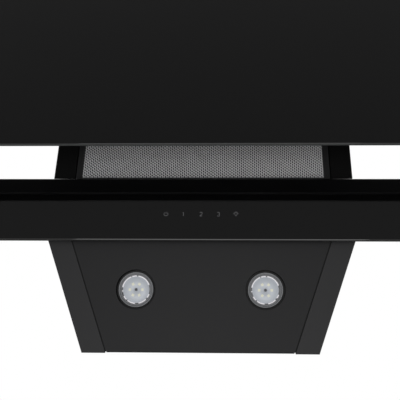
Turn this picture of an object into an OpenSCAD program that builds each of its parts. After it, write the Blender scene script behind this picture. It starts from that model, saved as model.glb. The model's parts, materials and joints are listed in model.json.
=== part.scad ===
// Wall-hung angled range hood, 90 cm class.
// X runs along the wall, +Y points into the wall, +Z is up, all in millimetres.
// The origin is midway between the two hanging holes, on the wall plane.
// The body is a folded sheet box: a sloping lamp panel below, a filter front that leans out above it,
// and two glass panels that stand in front of the filter.

/* [Body shell] */
// Width of the body across its front
body_w = 444; // [410:1:540]
// Width of the body against the wall
back_w = 332; // [290:1:380]
// Length of the sloping lamp panel, from the wall edge to the front corner
base_len = 166.6; // [140:0.1:200]
// Lean of the lamp panel from the vertical, in degrees
base_lean = 58; // [54:1:64]
// Lean of the filter front from the vertical, in degrees
front_lean = 35; // [32:1:40]
// Length of the filter front, from the front corner up to the top panel
front_len = 440; // [425:1:540]
// Thickness of the body sheet
sheet_t = 1.2; // [0.8:0.1:2]
// Width of the folded edge that each side panel shows on the front and on the base
flange_w = 31; // [26:0.5:38]
// Open joint between the side panels and the centre panels
seam_gap = 1.4; // [0.8:0.1:2.4]
// Width of the lip that carries the centre panels behind the joint
lip_w = 12; // [8:1:16]
// Open strip between the lamp panel and the wall
rear_gap = 2.2; // [1:0.1:5]

/* [Wall fixing] */
// Height of the hanging holes above the lower wall edge
hang_h = 400; // [370:1:410]
// Distance between the two hanging holes
hang_pitch = 220; // [160:1:230]
// Diameter of the hanging holes
hang_d = 8; // [6:0.5:10]
// Height of the safety holes above the lower wall edge
safety_h = 175; // [150:1:190]
// Distance between the two safety holes
safety_pitch = 200; // [160:1:210]
// Diameter of the safety holes
safety_d = 6; // [5:0.5:8]

/* [Filter cassette] */
// Height of the closed sill below the filter
sill_h = 91; // [85:1:100]
// Height of the filter cassette
filter_h = 299; // [240:1:305]
// Thickness of the filter cassette
filter_t = 10; // [8:0.5:14]
// Width of the filter frame's visible rim
rim_w = 9; // [7:0.5:14]
// Wall of the filter frame
frame_t = 1; // [0.8:0.1:1.5]
// Thickness of the expanded metal sheet
mesh_t = 1.2; // [0.8:0.1:2]
// Room on each side of the cassette
filter_gap = 1.5; // [0.8:0.1:3]
// Room above the cassette, which lets it lift off its sill
lift_gap = 3; // [2:0.5:6]
// Depth of the cassette's face behind the filter front
filter_recess = 0.5; // [0.2:0.1:2]
// Width of the ledge behind the cassette's edges
ledge_w = 8; // [5:1:12]

/* [Filter latch] */
// Width of the latch case
latch_w = 64; // [50:1:90]
// Height of the latch case
latch_h = 23; // [20:1:30]
// Travel of the latch
latch_travel = 6; // [4:0.5:7]
// Width of the latch bolt
bolt_w = 24; // [16:1:30]
// Thickness of the latch slider and its bolt
bolt_t = 3; // [2:0.2:4]
// Clearance around the latch slider
slide_gap = 0.3; // [0.2:0.1:0.6]

/* [Glass panels] */
// Width of both glass panels
glass_w = 895; // [745:1:1095]
// Thickness of both glass panels
glass_t = 5; // [4:0.5:8]
// Height of the upper glass panel
upper_h = 400; // [360:1:460]
// Height of the lower glass panel
lower_h = 105; // [98:1:106]
// Length of the lower glass that hangs below the front corner
lower_drop = 17; // [10:1:25]
// Gap between the filter front and the back of the lower glass
lower_gap = 10; // [8:0.5:20]
// Radius of the glass corners
glass_r = 2; // [1:0.5:6]
// Angle between the upper glass and the filter front, in degrees
panel_fold = 11.1; // [9:0.1:14]
// Distance of the steel tray's ends inside the ends of the upper glass
tray_in = 25; // [15:1:60]
// Depth of the tray's folded edge
tray_d = 8; // [6:0.5:12]
// Distance from the glass edge to the tray, above and below
tray_inset = 10; // [10:1:20]
// Distance of the carrying channel's ends inside the ends of the lower glass
carrier_in = 60; // [40:1:120]

/* [Panel hinge] */
// Distance from the top of the upper glass to the hinge axis
hinge_drop = 31; // [26:1:40]
// Distance from the back of the upper glass to the hinge axis
hinge_off = 9.2; // [9:0.1:14]
// Height of the hinge axis above the top of the filter front, along the front
hinge_rise = 15; // [12:1:20]
// Distance of the hinge axis in front of the filter front
hinge_out = 5; // [3:0.5:8]
// Distance of each hinge inside the side of the body
hinge_in = 17; // [15:0.5:22]
// Diameter of the hinge pins
pin_d = 6; // [5:0.5:7]
// Radial running clearance of the hinge pins
pin_clear = 0.06; // [0.03:0.01:0.1]
// Width of the hinge arm's eye
arm_w = 11; // [8:1:14]
// Thickness of each hinge ear
ear_t = 3; // [2:0.5:4]
// Side clearance between the arm and its ears
ear_gap = 0.5; // [0.3:0.1:1]
// Distance of the panel stops up the filter front
stop_s = 225; // [180:1:260]
// Distance of each panel stop inside the side of the body
stop_in = 17; // [15:0.5:22]
// Diameter of the stop posts
stop_d = 10; // [8:1:12]
// Length of the rubber buffers
buffer_l = 8; // [6:1:12]
// Gap left between a buffer and the tray
buffer_gap = 0.3; // [0.2:0.1:0.6]

/* [Lamps] */
// Distance between the two lamps
lamp_pitch = 183.5; // [150:0.5:200]
// Distance from the front corner to the lamps
lamp_in = 77.6; // [70:0.1:100]
// Diameter of the hole around each lamp
lamp_hole_d = 56; // [54:0.5:64]
// Diameter of the lamp bezel
lamp_d = 50; // [46:0.5:52]
// Diameter of the lamp's white board
board_d = 41; // [36:0.5:42]
// Depth of the bezel's face behind the lamp panel
lamp_recess = 4; // [2:0.5:8]
// Depth of the lamp can
can_l = 26; // [20:1:40]
// Side of each light chip
chip_w = 3.6; // [2:0.2:5]
// Radius of the ring of light chips
chip_r = 8.9; // [7:0.1:12]
// Number of light chips in each lamp
chip_n = 6; // [4:1:9]

/* [Blower] */
// Distance of the blower axis from the wall
fan_back = 128; // [122:1:134]
// Height of the blower axis above the lower wall edge
fan_up = 325; // [315:1:330]
// Diameter of the fan wheel
wheel_d = 150; // [120:1:152]
// Width of the fan wheel
wheel_w = 110; // [80:1:112]
// Number of fan blades
blade_n = 30; // [18:1:40]
// Scroll radius at its tongue
scroll_r0 = 86; // [84:1:88]
// Scroll radius at its exit
scroll_r1 = 114; // [108:1:116]
// Width of the scroll housing
scroll_w = 140; // [136:1:160]
// Wall of the scroll housing
scroll_t = 2; // [1.5:0.1:3]
// Diameter of the motor
motor_d = 84; // [60:1:90]
// Diameter of the motor shaft
shaft_d = 8; // [6:0.5:10]

/* [Outlet] */
// Outside diameter of the duct spigot
outlet_d = 150; // [120:1:152]
// Height of the duct spigot above the top panel
outlet_h = 60; // [50:1:90]
// Wall of the duct spigot
outlet_t = 1.8; // [1.2:0.1:3]
// Height of the flap pin above the top panel
flap_up = 18; // [14:1:30]
// Thickness of the flaps
flap_t = 1.4; // [1:0.1:2]
// Diameter of the flap pin
flap_pin_d = 3; // [2.5:0.5:4]
// Diameter of the cable hole
cable_d = 9; // [7:0.5:12]

/* [Hidden] */

$fn = 48;
cut = 1;                                     // how far a cutter runs past the face that it cuts
corner_y = -base_len * sin(base_lean);       // the front corner, where the base meets the filter front
corner_z = base_len * cos(base_lean);
top_z = corner_z + front_len * cos(front_lean);
top_y = corner_y - front_len * sin(front_lean);
taper = (body_w - back_w) / 2 / -corner_y;   // how fast the plan widens away from the wall
taper_cos = cos(atan(taper));
open_w = body_w - 2 * flange_w;              // the opening between the side panels
centre_in = flange_w + seam_gap;             // inset of the centre panels
filter_w = open_w - 2 * filter_gap;
filter_top = sill_h + filter_h;
header_s = filter_top + lift_gap;
filter_back = filter_recess + filter_t;
rail_gap = 0.3;                              // room between the cassette's back and its ledge
hinge_s = front_len + hinge_rise;
hinge_x = body_w / 2 - hinge_in;
stop_x = body_w / 2 - stop_in;
tray_w = glass_w - 2 * tray_in;
carrier_w = glass_w - 2 * carrier_in;
arm_len = upper_h - hinge_drop;              // from the bottom of the upper glass to the hinge axis
lamp_s = base_len - lamp_in;
scroll_angle = 77;                           // where the scroll's tongue stands, from the front
scroll_tongue = scroll_r0 * cos(scroll_angle);
outlet_y = -(fan_back + (scroll_r1 + scroll_tongue) / 2);
neck_top = top_z - sheet_t - fan_up;         // top of the scroll's neck, from the blower axis
flange_lap = 6;
screw_d = 4;
screw_x = body_w / 2 - centre_in - lip_w / 2;

// --- Frames -------------------------------------------------------------------------------------

// The wall frame, raised so that the hanging holes are at the origin's height
module wall_frame() {
  translate([0, 0, -hang_h]) children();
}

// The lamp panel's frame: y runs from the wall edge up to the front corner, z points out of the hood
module base_frame() {
  wall_frame() rotate([90 + base_lean, 0, 0]) children();
}

// The filter front's frame: y runs up the front from the corner, z points out of the hood
module front_frame() {
  wall_frame() translate([0, corner_y, corner_z]) rotate([90 + front_lean, 0, 0]) children();
}

// The upper glass's frame: y runs up its back face from its bottom edge, z points out of the hood
module glass_frame() {
  front_frame() translate([0, hinge_s, hinge_out]) rotate([-panel_fold, 0, 0])
    translate([0, -arm_len, hinge_off]) children();
}

// The hinge axis, along x, in the filter front's frame
module hinge_frame() {
  front_frame() translate([0, hinge_s, hinge_out]) children();
}

// One lamp's frame: the origin is on the outer face of the lamp panel
module lamp_frame(side) {
  base_frame() translate([side * lamp_pitch / 2, lamp_s, 0]) children();
}

// The blower's frame: x points into the wall, y is up, z runs along the blower axis
module fan_frame() {
  wall_frame() translate([0, -fan_back, fan_up]) rotate([90, 0, 90]) children();
}

// The outlet's frame: the origin is on top of the top panel
module outlet_frame() {
  wall_frame() translate([0, outlet_y, top_z]) children();
}

// Draws a right-hand piece on the side that is asked for
module on_side(side) {
  if (side < 0) mirror([1, 0, 0]) children();
  else children();
}

// --- Shared shapes ------------------------------------------------------------------------------

// A block given by its lowest and highest corners
module block(low, high) {
  translate(low) cube(high - low);
}

// A flat plate with round corners, its lower left corner at the origin
module round_plate(w, h, t, r) {
  linear_extrude(t) union() {
    translate([r, 0]) square([w - 2 * r, h]);
    translate([0, r]) square([w, h - 2 * r]);
    for (x = [r, w - r], y = [r, h - r]) translate([x, y]) circle(r = r);
  }
}

// A cylinder whose axis lies along x, from x0 to x1
module rod_x(r, x0, x1) {
  translate([x0, 0, 0]) rotate([0, 90, 0]) cylinder(r = r, h = x1 - x0);
}

// The side profile of the body, as (y, z), moved inwards by d
function profile(d) = [
  [-d, d * (1 + cos(base_lean)) / sin(base_lean)],
  [-d, top_z - d],
  [corner_y + (d - (top_z - d - corner_z) * sin(front_lean)) / cos(front_lean), top_z - d],
  [corner_y + d * (sin(base_lean) - sin(front_lean)) / sin(base_lean - front_lean),
   corner_z + d * (cos(front_lean) - cos(base_lean)) / sin(base_lean - front_lean)]
];

// The plan of the body, moved inwards by d at the sides only, and run past the wall and the front
function plan(d) =
  let (
    x = body_w / 2 - d,
    knee = -(body_w / 2 - back_w / 2 - d + d / taper_cos) / taper,
    past = 5,
    xb = back_w / 2 - d / taper_cos - taper * past
  )
  [[-x, top_y - past], [-x, knee], [-xb, past], [xb, past], [x, knee], [x, top_y - past]];

module profile_prism(d) {
  rotate([90, 0, 90]) linear_extrude(height = 2 * body_w, center = true) polygon(profile(d));
}

module plan_prism(d) {
  translate([0, 0, -cut]) linear_extrude(top_z + 2 * cut) polygon(plan(d));
}

// The body's outer solid, with every face moved inwards by d
module body_solid(d) {
  intersection() {
    profile_prism(d);
    plan_prism(d);
  }
}

// The strip of the plan between two insets
module edge_zone(outer, inner) {
  difference() {
    plan_prism(outer);
    plan_prism(inner);
  }
}

// The slab that holds the base wall, run past its outer face
module base_slab() {
  rotate([90 + base_lean, 0, 0])
    block([-body_w, -cut * 20, -sheet_t], [body_w, base_len + cut * 20, cut]);
}

// The slab that holds the front wall, run past its outer face
module front_slab() {
  translate([0, corner_y, corner_z]) rotate([90 + front_lean, 0, 0])
    block([-body_w, -cut * 20, -sheet_t], [body_w, front_len + cut * 20, cut]);
}

module top_slab() {
  block([-body_w, top_y - cut, top_z - sheet_t], [body_w, cut, top_z + cut]);
}

module back_slab() {
  block([-body_w, -sheet_t, -cut], [body_w, cut, top_z + cut]);
}

// The holes that the panel screws pass through, in the top panel and the lip below it
module screw_places() {
  for (side = [-1, 1], y = [corner_y - 20, top_y + 60])
    translate([side * screw_x, y, top_z]) children();
}

module screw_holes() {
  screw_places() cylinder(d = screw_d, h = 10 * sheet_t, center = true);
}

// --- Body shell ---------------------------------------------------------------------------------

// The room behind the filter front that the lips leave for the filter and its rails
module filter_room() {
  front_frame() block([-open_w / 2 - lip_w, sill_h - cut, -filter_back - lip_w],
                      [open_w / 2 + lip_w, header_s + cut, cut]);
}

// The stepped lip that carries the centre panels, one sheet further in than the folded edges
module carrying_lip() {
  difference() {
    wall_frame() intersection() {
      difference() {
        body_solid(sheet_t);
        body_solid(2 * sheet_t);
      }
      edge_zone(flange_w - flange_lap, centre_in + lip_w);
    }
    filter_room();
  }
}

// A side panel: the wall, its folded edges, and the stepped lip behind the joints
module side_panel(side) {
  color("#1c1c1e") difference() {
    intersection() {
      union() {
        wall_frame() intersection() {
          difference() {
            body_solid(0);
            body_solid(sheet_t);
          }
          edge_zone(-2 * cut, flange_w);
        }
        carrying_lip();
      }
      wall_frame() on_side(side) block([0, 2 * top_y, -cut], [body_w, cut, top_z + cut]);
    }
    wall_frame() screw_holes();
  }
}

// The sloping lamp panel, with one hole for each lamp
module base_panel() {
  color("#343437") difference() {
    wall_frame() intersection() {
      body_solid(0);
      base_slab();
      plan_prism(centre_in);
    }
    for (side = [-1, 1]) lamp_frame(side) cylinder(d = lamp_hole_d, h = 20 * sheet_t, center = true);
    base_frame() block([-body_w, -cut * 20, -5 * sheet_t], [body_w, rear_gap, cut]);
  }
}

// A stretch of the filter front between two heights, between the joints
module front_strip(s0, s1) {
  intersection() {
    wall_frame() intersection() {
      body_solid(0);
      front_slab();
      plan_prism(centre_in);
    }
    front_frame() block([-body_w, s0, -2 * sheet_t], [body_w, s1, cut]);
  }
}

// The lip that is folded back along an edge of the filter window
module window_lip(s0) {
  half = open_w / 2 - 2 * seam_gap;
  front_frame() block([-half, s0, -filter_back - sheet_t], [half, s0 + sheet_t, 0]);
}

// The closed sill below the filter, behind the lower glass
module front_sill() {
  color("#151517") union() {
    difference() {
      front_strip(-10 * sheet_t, sill_h);
      wall_frame() base_slab();
    }
    window_lip(sill_h - sheet_t);
  }
}

// The closed header above the filter, whose lip has the slot for the latch bolt
module front_header() {
  color("#151517") difference() {
    union() {
      front_strip(header_s, front_len + 10 * sheet_t);
      window_lip(header_s);
    }
    front_frame() block(
      [-bolt_w / 2 - 2 * slide_gap, header_s - cut, bolt_low() - 2 * slide_gap],
      [bolt_w / 2 + 2 * slide_gap, header_s + sheet_t + cut, bolt_low() + bolt_t + 2 * slide_gap]);
  }
}

// The top panel, with the outlet hole and the cable hole
module top_panel() {
  color("#1c1c1e") difference() {
    wall_frame() intersection() {
      body_solid(0);
      top_slab();
      plan_prism(centre_in);
    }
    wall_frame() front_slab();
    wall_frame() screw_holes();
    outlet_frame() cylinder(d = outlet_d - 2 * outlet_t, h = 20 * sheet_t, center = true, $fn = 96);
    gland_frame() cylinder(r = gland_r, h = 20 * sheet_t, center = true);
  }
}

// The back panel, with the hanging holes and the safety holes
module back_panel() {
  color("#1c1c1e") difference() {
    wall_frame() intersection() {
      body_solid(0);
      back_slab();
      plan_prism(centre_in);
    }
    wall_frame() top_slab();
    base_frame() block([-body_w, -cut * 20, -sheet_t], [body_w, rear_gap, cut]);
    for (side = [-1, 1]) {
      translate([side * hang_pitch / 2, 0, 0]) rotate([90, 0, 0])
        cylinder(d = hang_d, h = 20 * sheet_t, center = true);
      wall_frame() translate([side * safety_pitch / 2, 0, safety_h]) rotate([90, 0, 0])
        cylinder(d = safety_d, h = 20 * sheet_t, center = true);
    }
  }
}

// The screws that hold the top panel to the side panels
module panel_screws() {
  head_h = 2;
  color("silver") wall_frame() screw_places() union() {
    cylinder(d = 2 * screw_d, h = head_h);
    translate([0, 0, -4 * sheet_t]) cylinder(d = screw_d, h = 4 * sheet_t + head_h / 2);
  }
}

// --- Filter -------------------------------------------------------------------------------------

// The rail behind one edge of the filter window: a foot on the side panel, a web and a ledge
module filter_rail(side) {
  back = -filter_back - rail_gap;
  foot = 10;
  color("#232325") on_side(side) front_frame()
    translate([open_w / 2, sill_h, 0]) rotate([90, 0, 0]) mirror([0, 0, 1])
      linear_extrude(header_s - sill_h) polygon([
        [0, -sheet_t], [foot, -sheet_t], [foot, -2 * sheet_t], [sheet_t, -2 * sheet_t],
        [sheet_t, back - sheet_t], [-ledge_w, back - sheet_t], [-ledge_w, back], [0, back]
      ]);
}

// A block in the cassette's place, inset by d on its four edges, between two depths
module cassette_block(d, back, front) {
  front_frame() block([-filter_w / 2 + d, sill_h + d, -back], [filter_w / 2 - d, filter_top - d, -front]);
}

function bolt_low() = -filter_recess - frame_t - bolt_t - 1.5;   // the back face of the latch bolt
latch_low = -filter_back + frame_t;                              // the back face of the latch case
latch_high = 2;                                                  // the front face of the latch case

// The place that the latch case takes in the cassette
module latch_place(gap) {
  front_frame() block([-latch_w / 2 - gap, filter_top - frame_t - latch_h - gap, latch_low],
                      [latch_w / 2 + gap, filter_top - frame_t, latch_high + cut]);
}

// The folded frame around the filter layers, open on both faces, with a slot for the latch bolt
module filter_frame() {
  color("#2a2a2c") difference() {
    cassette_block(0, filter_back, filter_recess);
    cassette_block(frame_t, filter_back - frame_t, filter_recess + frame_t);
    cassette_block(rim_w, filter_back + cut, filter_recess - cut);
    latch_place(0);
    front_frame() block([-bolt_w / 2 - slide_gap, filter_top - 2 * frame_t, bolt_low() - slide_gap],
                        [bolt_w / 2 + slide_gap, filter_top + cut, bolt_low() + bolt_t + slide_gap]);
  }
}

// The expanded metal sheet on the filter's face
module filter_mesh() {
  front = filter_recess + frame_t;
  color("#8c8e90") difference() {
    cassette_block(frame_t, front + mesh_t, front);
    latch_place(0);
  }
}

// The stacked layers of expanded metal behind the face
module filter_pad() {
  color("#77797b") difference() {
    cassette_block(frame_t, filter_back - frame_t, filter_recess + frame_t + mesh_t);
    latch_place(0);
  }
}

// The pocket that the latch slider moves in: the slider's place, run down by its travel
module latch_pocket() {
  front_frame() union() {
    block([-bolt_w / 2 - 8 - slide_gap, slider_s - latch_travel - slide_gap, bolt_low() - slide_gap],
          [bolt_w / 2 + 8 + slide_gap, slider_s + slider_h + slide_gap, bolt_low() + bolt_t + slide_gap]);
    block([-bolt_w / 2 - slide_gap, slider_s, bolt_low() - slide_gap],
          [bolt_w / 2 + slide_gap, filter_top + cut, bolt_low() + bolt_t + slide_gap]);
    block([-tab_w / 2 - slide_gap, slider_s + 1 - latch_travel - slide_gap, bolt_low()],
          [tab_w / 2 + slide_gap, slider_s + 1 + tab_h + slide_gap, latch_high + cut]);
  }
}

slider_h = 8;                                         // height of the slider's wide part
tab_w = 20;                                           // width of the finger tab
tab_h = 5;                                            // height of the finger tab
slider_s = filter_top - frame_t - slider_h - 3;       // lower edge of the slider when latched

// The case that holds the latch in the cassette
module latch_case() {
  color("#1b1b1d") difference() {
    front_frame() block([-latch_w / 2, filter_top - frame_t - latch_h, latch_low],
                        [latch_w / 2, filter_top - frame_t, latch_high]);
    latch_pocket();
  }
}

// The slider with its bolt and its finger tab
module latch_slider() {
  color("#3a3a3d") front_frame() union() {
    block([-bolt_w / 2 - 8, slider_s, bolt_low()],
          [bolt_w / 2 + 8, slider_s + slider_h, bolt_low() + bolt_t]);
    block([-bolt_w / 2, slider_s + slider_h / 2, bolt_low()],
          [bolt_w / 2, header_s + sheet_t + 1.5, bolt_low() + bolt_t]);
    block([-tab_w / 2, slider_s + 1, bolt_low() + bolt_t / 2],
          [tab_w / 2, slider_s + 1 + tab_h, latch_high + 3]);
  }
}

// --- Glass panels -------------------------------------------------------------------------------

// The lower glass, which carries the touch keys
module lower_glass() {
  color("#0d0d0e") front_frame() translate([-glass_w / 2, -lower_drop, lower_gap])
    round_plate(glass_w, lower_h, glass_t, glass_r);
}

carrier_low = 4;                                      // lower edge of the carrier, up the filter front
carrier_high = lower_h - lower_drop - 12;             // upper edge of the carrier
board_s = 16;                                         // lower edge of the touch board
touch_h = 20;
touch_w = 140;

// The channel that stands the lower glass off the body
module glass_carrier() {
  foot_w = open_w + flange_w;
  color("#1a1a1c") front_frame() difference() {
    union() {
      block([-carrier_w / 2, carrier_low, lower_gap - sheet_t], [carrier_w / 2, carrier_high, lower_gap]);
      for (s = [carrier_low, carrier_high - sheet_t])
        block([-foot_w / 2, s, 0], [foot_w / 2, s + sheet_t, lower_gap]);
    }
    block([-touch_w / 2 - 1, board_s - 1, 1], [touch_w / 2 + 1, board_s + touch_h + 1, lower_gap + cut]);
  }
}

// The touch-key board on the back of the lower glass
module touch_board() {
  color("#1f4d2e") front_frame()
    block([-touch_w / 2, board_s, lower_gap - 1.6], [touch_w / 2, board_s + touch_h, lower_gap]);
}

// The upper glass
module upper_glass() {
  color("#0d0d0e") glass_frame() translate([-glass_w / 2, 0, 0])
    round_plate(glass_w, upper_h, glass_t, glass_r);
}

// The steel tray that is bonded to the back of the upper glass
module panel_tray() {
  color("#141416") glass_frame() difference() {
    block([-tray_w / 2, tray_inset, -tray_d], [tray_w / 2, upper_h - tray_inset, 0]);
    block([-tray_w / 2 + sheet_t, tray_inset + sheet_t, -tray_d - cut],
          [tray_w / 2 - sheet_t, upper_h - tray_inset - sheet_t, -sheet_t]);
  }
}

// The two stiffening ribs across the tray
module tray_ribs() {
  rib_w = 20;
  rib_end = 35;
  color("#141416") glass_frame() for (share = [0.5, 0.75])
    difference() {
      block([-tray_w / 2 + rib_end, upper_h * share, -tray_d + 1],
            [tray_w / 2 - rib_end, upper_h * share + rib_w, -sheet_t]);
      block([-tray_w / 2, upper_h * share + sheet_t, -tray_d + 1 + sheet_t],
            [tray_w / 2, upper_h * share + rib_w - sheet_t, cut]);
    }
}

eye_r = 7;                                            // outside radius of the hinge eyes

// A hinge arm: a block on the tray and an eye around the pin
module hinge_arm(side) {
  arm_low = 30;
  arm_high = 12;
  color("#6b6d70") on_side(side) difference() {
    glass_frame() union() {
      block([hinge_x - arm_w / 2, arm_len - arm_low, -hinge_off],
            [hinge_x + arm_w / 2, arm_len + arm_high, -sheet_t]);
      translate([0, arm_len, -hinge_off]) rod_x(eye_r, hinge_x - arm_w / 2, hinge_x + arm_w / 2);
    }
    hinge_frame() rod_x(pin_d / 2 + pin_clear, 0, body_w);
  }
}

// A hinge ear bracket: a foot on the side panel and two ears that hold the pin
module hinge_ear(side) {
  plate_t = 2;
  foot_s = 30;
  inner = arm_w / 2 + ear_gap;
  outer = inner + ear_t;
  color("#6b6d70") on_side(side) translate([hinge_x, 0, 0]) difference() {
    union() {
      front_frame() block([-outer, front_len - foot_s, 0], [outer, front_len - 2, plate_t]);
      for (x = [-outer, inner]) {
        hinge_frame() rod_x(eye_r, x, x + ear_t);
        front_frame() translate([x, 0, 0]) rotate([90, 0, 90]) linear_extrude(ear_t) polygon([
          [front_len - foot_s, 0], [front_len - 2, 0], [hinge_s + 2, hinge_out - eye_r + 0.3],
          [hinge_s, hinge_out + eye_r], [front_len - foot_s, plate_t + 1]
        ]);
      }
    }
    hinge_frame() rod_x(pin_d / 2, -body_w, body_w);
    wall_frame() block([-body_w, top_y, 0], [body_w, 0, top_z + 0.5]);
    front_frame() block([-body_w, 0, -front_len], [body_w, front_len, 0]);
  }
}

// A hinge pin with its head
module hinge_pin(side) {
  reach = arm_w / 2 + ear_gap + ear_t;
  head_t = 1.5;
  color("silver") on_side(side) hinge_frame() translate([hinge_x, 0, 0]) union() {
    rod_x(pin_d / 2, -reach - head_t, reach + head_t);
    rod_x(pin_d / 2 + 1.5, reach, reach + head_t);
  }
}

// Where the stop post's axis meets the back of the glass
function stop_u() = stop_s - hinge_s + arm_len + 7;

// A stop post, from the side panel's folded edge up to its buffer
module stop_post(side) {
  foot_w = 22;
  long = 200;
  tip = -sheet_t - buffer_gap - buffer_l;
  color("#6b6d70") on_side(side) union() {
    difference() {
      glass_frame() translate([stop_x, stop_u(), tip - long]) cylinder(d = stop_d, h = long);
      front_frame() block([0, 0, -front_len], [body_w, front_len, 0]);
    }
    front_frame() block([stop_x - foot_w / 2, stop_foot_s() - foot_w / 2, 0],
                        [stop_x + foot_w / 2, stop_foot_s() + foot_w / 2, 2]);
  }
}

// Where the post's axis meets the filter front: the glass's point, less its height times the fold
function stop_foot_s() =
  let (
    ds = (stop_u() - arm_len) * cos(panel_fold) + hinge_off * sin(panel_fold),
    dn = -(stop_u() - arm_len) * sin(panel_fold) + hinge_off * cos(panel_fold) + hinge_out
  )
  hinge_s + ds - dn * tan(panel_fold);

// The rubber buffer on the end of a stop post
module stop_buffer(side) {
  color("#101010") on_side(side) glass_frame()
    translate([stop_x, stop_u(), -sheet_t - buffer_gap - buffer_l]) cylinder(d = stop_d + 4, h = buffer_l);
}

// --- Lamps --------------------------------------------------------------------------------------

bezel_h = 4;                                          // height of the bezel
cup_depth = 14;                                       // depth of the cup behind the lamp panel
seat_z = -lamp_recess - bezel_h;                      // where the bezel and the board sit on the can
can_d = lamp_d - 2;

// The cup behind the lamp hole, which holds the lamp by its can
module lamp_cup(side) {
  wall = 2;
  r = lamp_hole_d / 2;
  color("#0c0c0d") lamp_frame(side) translate([0, 0, -sheet_t]) difference() {
    union() {
      translate([0, 0, -cup_depth]) cylinder(r = r + wall, h = cup_depth);
      translate([0, 0, -wall]) cylinder(r = r + 4 * wall, h = wall);
    }
    translate([0, 0, -cup_depth + wall]) cylinder(r = r, h = cup_depth);
    translate([0, 0, -cup_depth - cut]) cylinder(d = can_d, h = cup_depth);
  }
}

// The lamp can, with cooling grooves
module lamp_can(side) {
  groove = 3;
  color("#b4b6b8") lamp_frame(side) translate([0, 0, seat_z - can_l]) difference() {
    cylinder(d = can_d, h = can_l);
    for (i = [0 : 2]) translate([0, 0, groove + i * 2 * groove]) difference() {
      cylinder(d = can_d + 2 * cut, h = groove);
      translate([0, 0, -cut]) cylinder(d = can_d - 2 * groove, h = groove + 2 * cut);
    }
  }
}

// The grey ring around the light, with a bevelled inner edge
module lamp_bezel(side) {
  r = lamp_d / 2;
  ri = board_d / 2;
  color("#8d8f93") lamp_frame(side) translate([0, 0, seat_z]) rotate_extrude($fn = 72) polygon([
    [ri, 0], [r, 0], [r, bezel_h - 1], [r - 1, bezel_h], [ri + 1.6, bezel_h], [ri, bezel_h - 2]
  ]);
}

board_t = 1;

// The white board that carries the light chips
module lamp_board(side) {
  color("#dfe6ee") lamp_frame(side) translate([0, 0, seat_z]) cylinder(d = board_d, h = board_t, $fn = 72);
}

// The light chips, in a ring
module lamp_chips(side) {
  chip_t = 0.8;
  color("#f1e39b") lamp_frame(side) for (i = [0 : chip_n - 1]) rotate([0, 0, i * 360 / chip_n])
    translate([chip_r, 0, seat_z + board_t + chip_t / 2]) cube([chip_w, chip_w, chip_t], center = true);
}

// The screws in the middle of the two lamp boards
module lamp_screws() {
  color("#2b2c2e") for (side = [-1, 1]) lamp_frame(side)
    translate([0, 0, seat_z + board_t]) cylinder(d = 4, h = 1);
}

// --- Blower -------------------------------------------------------------------------------------

// The inside outline of the scroll, grown by g: a spiral and the neck that rises from it
module scroll_outline(g, top) {
  step = 283 / 28;
  union() {
    polygon([for (i = [0 : 28])
      let (a = scroll_angle + i * step, r = scroll_r0 + (scroll_r1 - scroll_r0) * i / 28 + g)
      [-r * cos(a), r * sin(a)]]);
    translate([-scroll_r1 - g, 0]) square([scroll_r1 - scroll_tongue + 2 * g, top]);
  }
}

// Half of the scroll housing, from the middle to one side
module scroll_half(side) {
  half = scroll_w / 2;
  rim = 8;
  color("#3c3d40") on_side(side) fan_frame() difference() {
    union() {
      linear_extrude(half) scroll_outline(scroll_t, neck_top);
      translate([-scroll_r1 - rim, neck_top - scroll_t, 0])
        cube([scroll_r1 - scroll_tongue + 2 * rim, scroll_t, half + rim - scroll_t]);
    }
    translate([0, 0, -cut]) linear_extrude(half - scroll_t + cut) scroll_outline(0, neck_top + cut);
    cylinder(r = inlet_r, h = half + cut);
  }
}

inlet_r = wheel_d / 2 - 12;                           // radius of the inlet hole
ring_out = wheel_d / 2;                               // outside radius of the inlet ring
blade_in = wheel_d / 2 - 14;                          // inside radius of the blades

// The bell-mouthed ring in one inlet
module inlet_ring(side) {
  half = scroll_w / 2;
  wall = 1.5;
  color("#2b2c2e") on_side(side) fan_frame() rotate_extrude($fn = 72) polygon([
    [inlet_r - wall, wheel_w / 2 + 4], [inlet_r, wheel_w / 2 + 4], [inlet_r, half], [ring_out, half],
    [ring_out, half + wall], [inlet_r + 1, half + wall], [inlet_r - wall, half - 2]
  ]);
}

motor_end = -(scroll_w / 2 - 6);                      // rear face of the motor, along the blower axis
motor_nose = -12;                                     // front face of the motor

// The motor, with the bore that its shaft turns in
module motor() {
  color("#4a4d52") fan_frame() difference() {
    union() {
      translate([0, 0, motor_end]) cylinder(d = motor_d, h = motor_nose - motor_end - 4);
      translate([0, 0, motor_end]) cylinder(d = motor_d / 3, h = motor_nose - motor_end);
    }
    translate([0, 0, motor_end + 4]) cylinder(d = shaft_d + 0.1, h = scroll_w);
  }
}

// The three-armed bracket that hangs the motor in the left inlet
module motor_bracket() {
  arm = 14;
  plate = 2;
  out = -scroll_w / 2 - 1.5 - plate;
  reach = ring_out + 8;
  color("#6b6d70") fan_frame() union() {
    translate([0, 0, out]) cylinder(d = motor_d * 0.7, h = motor_end - out);
    for (i = [0 : 2]) rotate([0, 0, 90 + i * 120]) {
      translate([0, -arm / 2, out]) cube([reach, arm, plate]);
      translate([ring_out + 1, -arm / 2, out]) cube([reach - ring_out - 1, arm, -scroll_w / 2 - out]);
    }
  }
}

// The motor shaft, which turns with the wheel
module motor_shaft() {
  color("silver") fan_frame() translate([0, 0, motor_end + 5]) cylinder(d = shaft_d, h = 16 - motor_end - 5);
}

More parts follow.
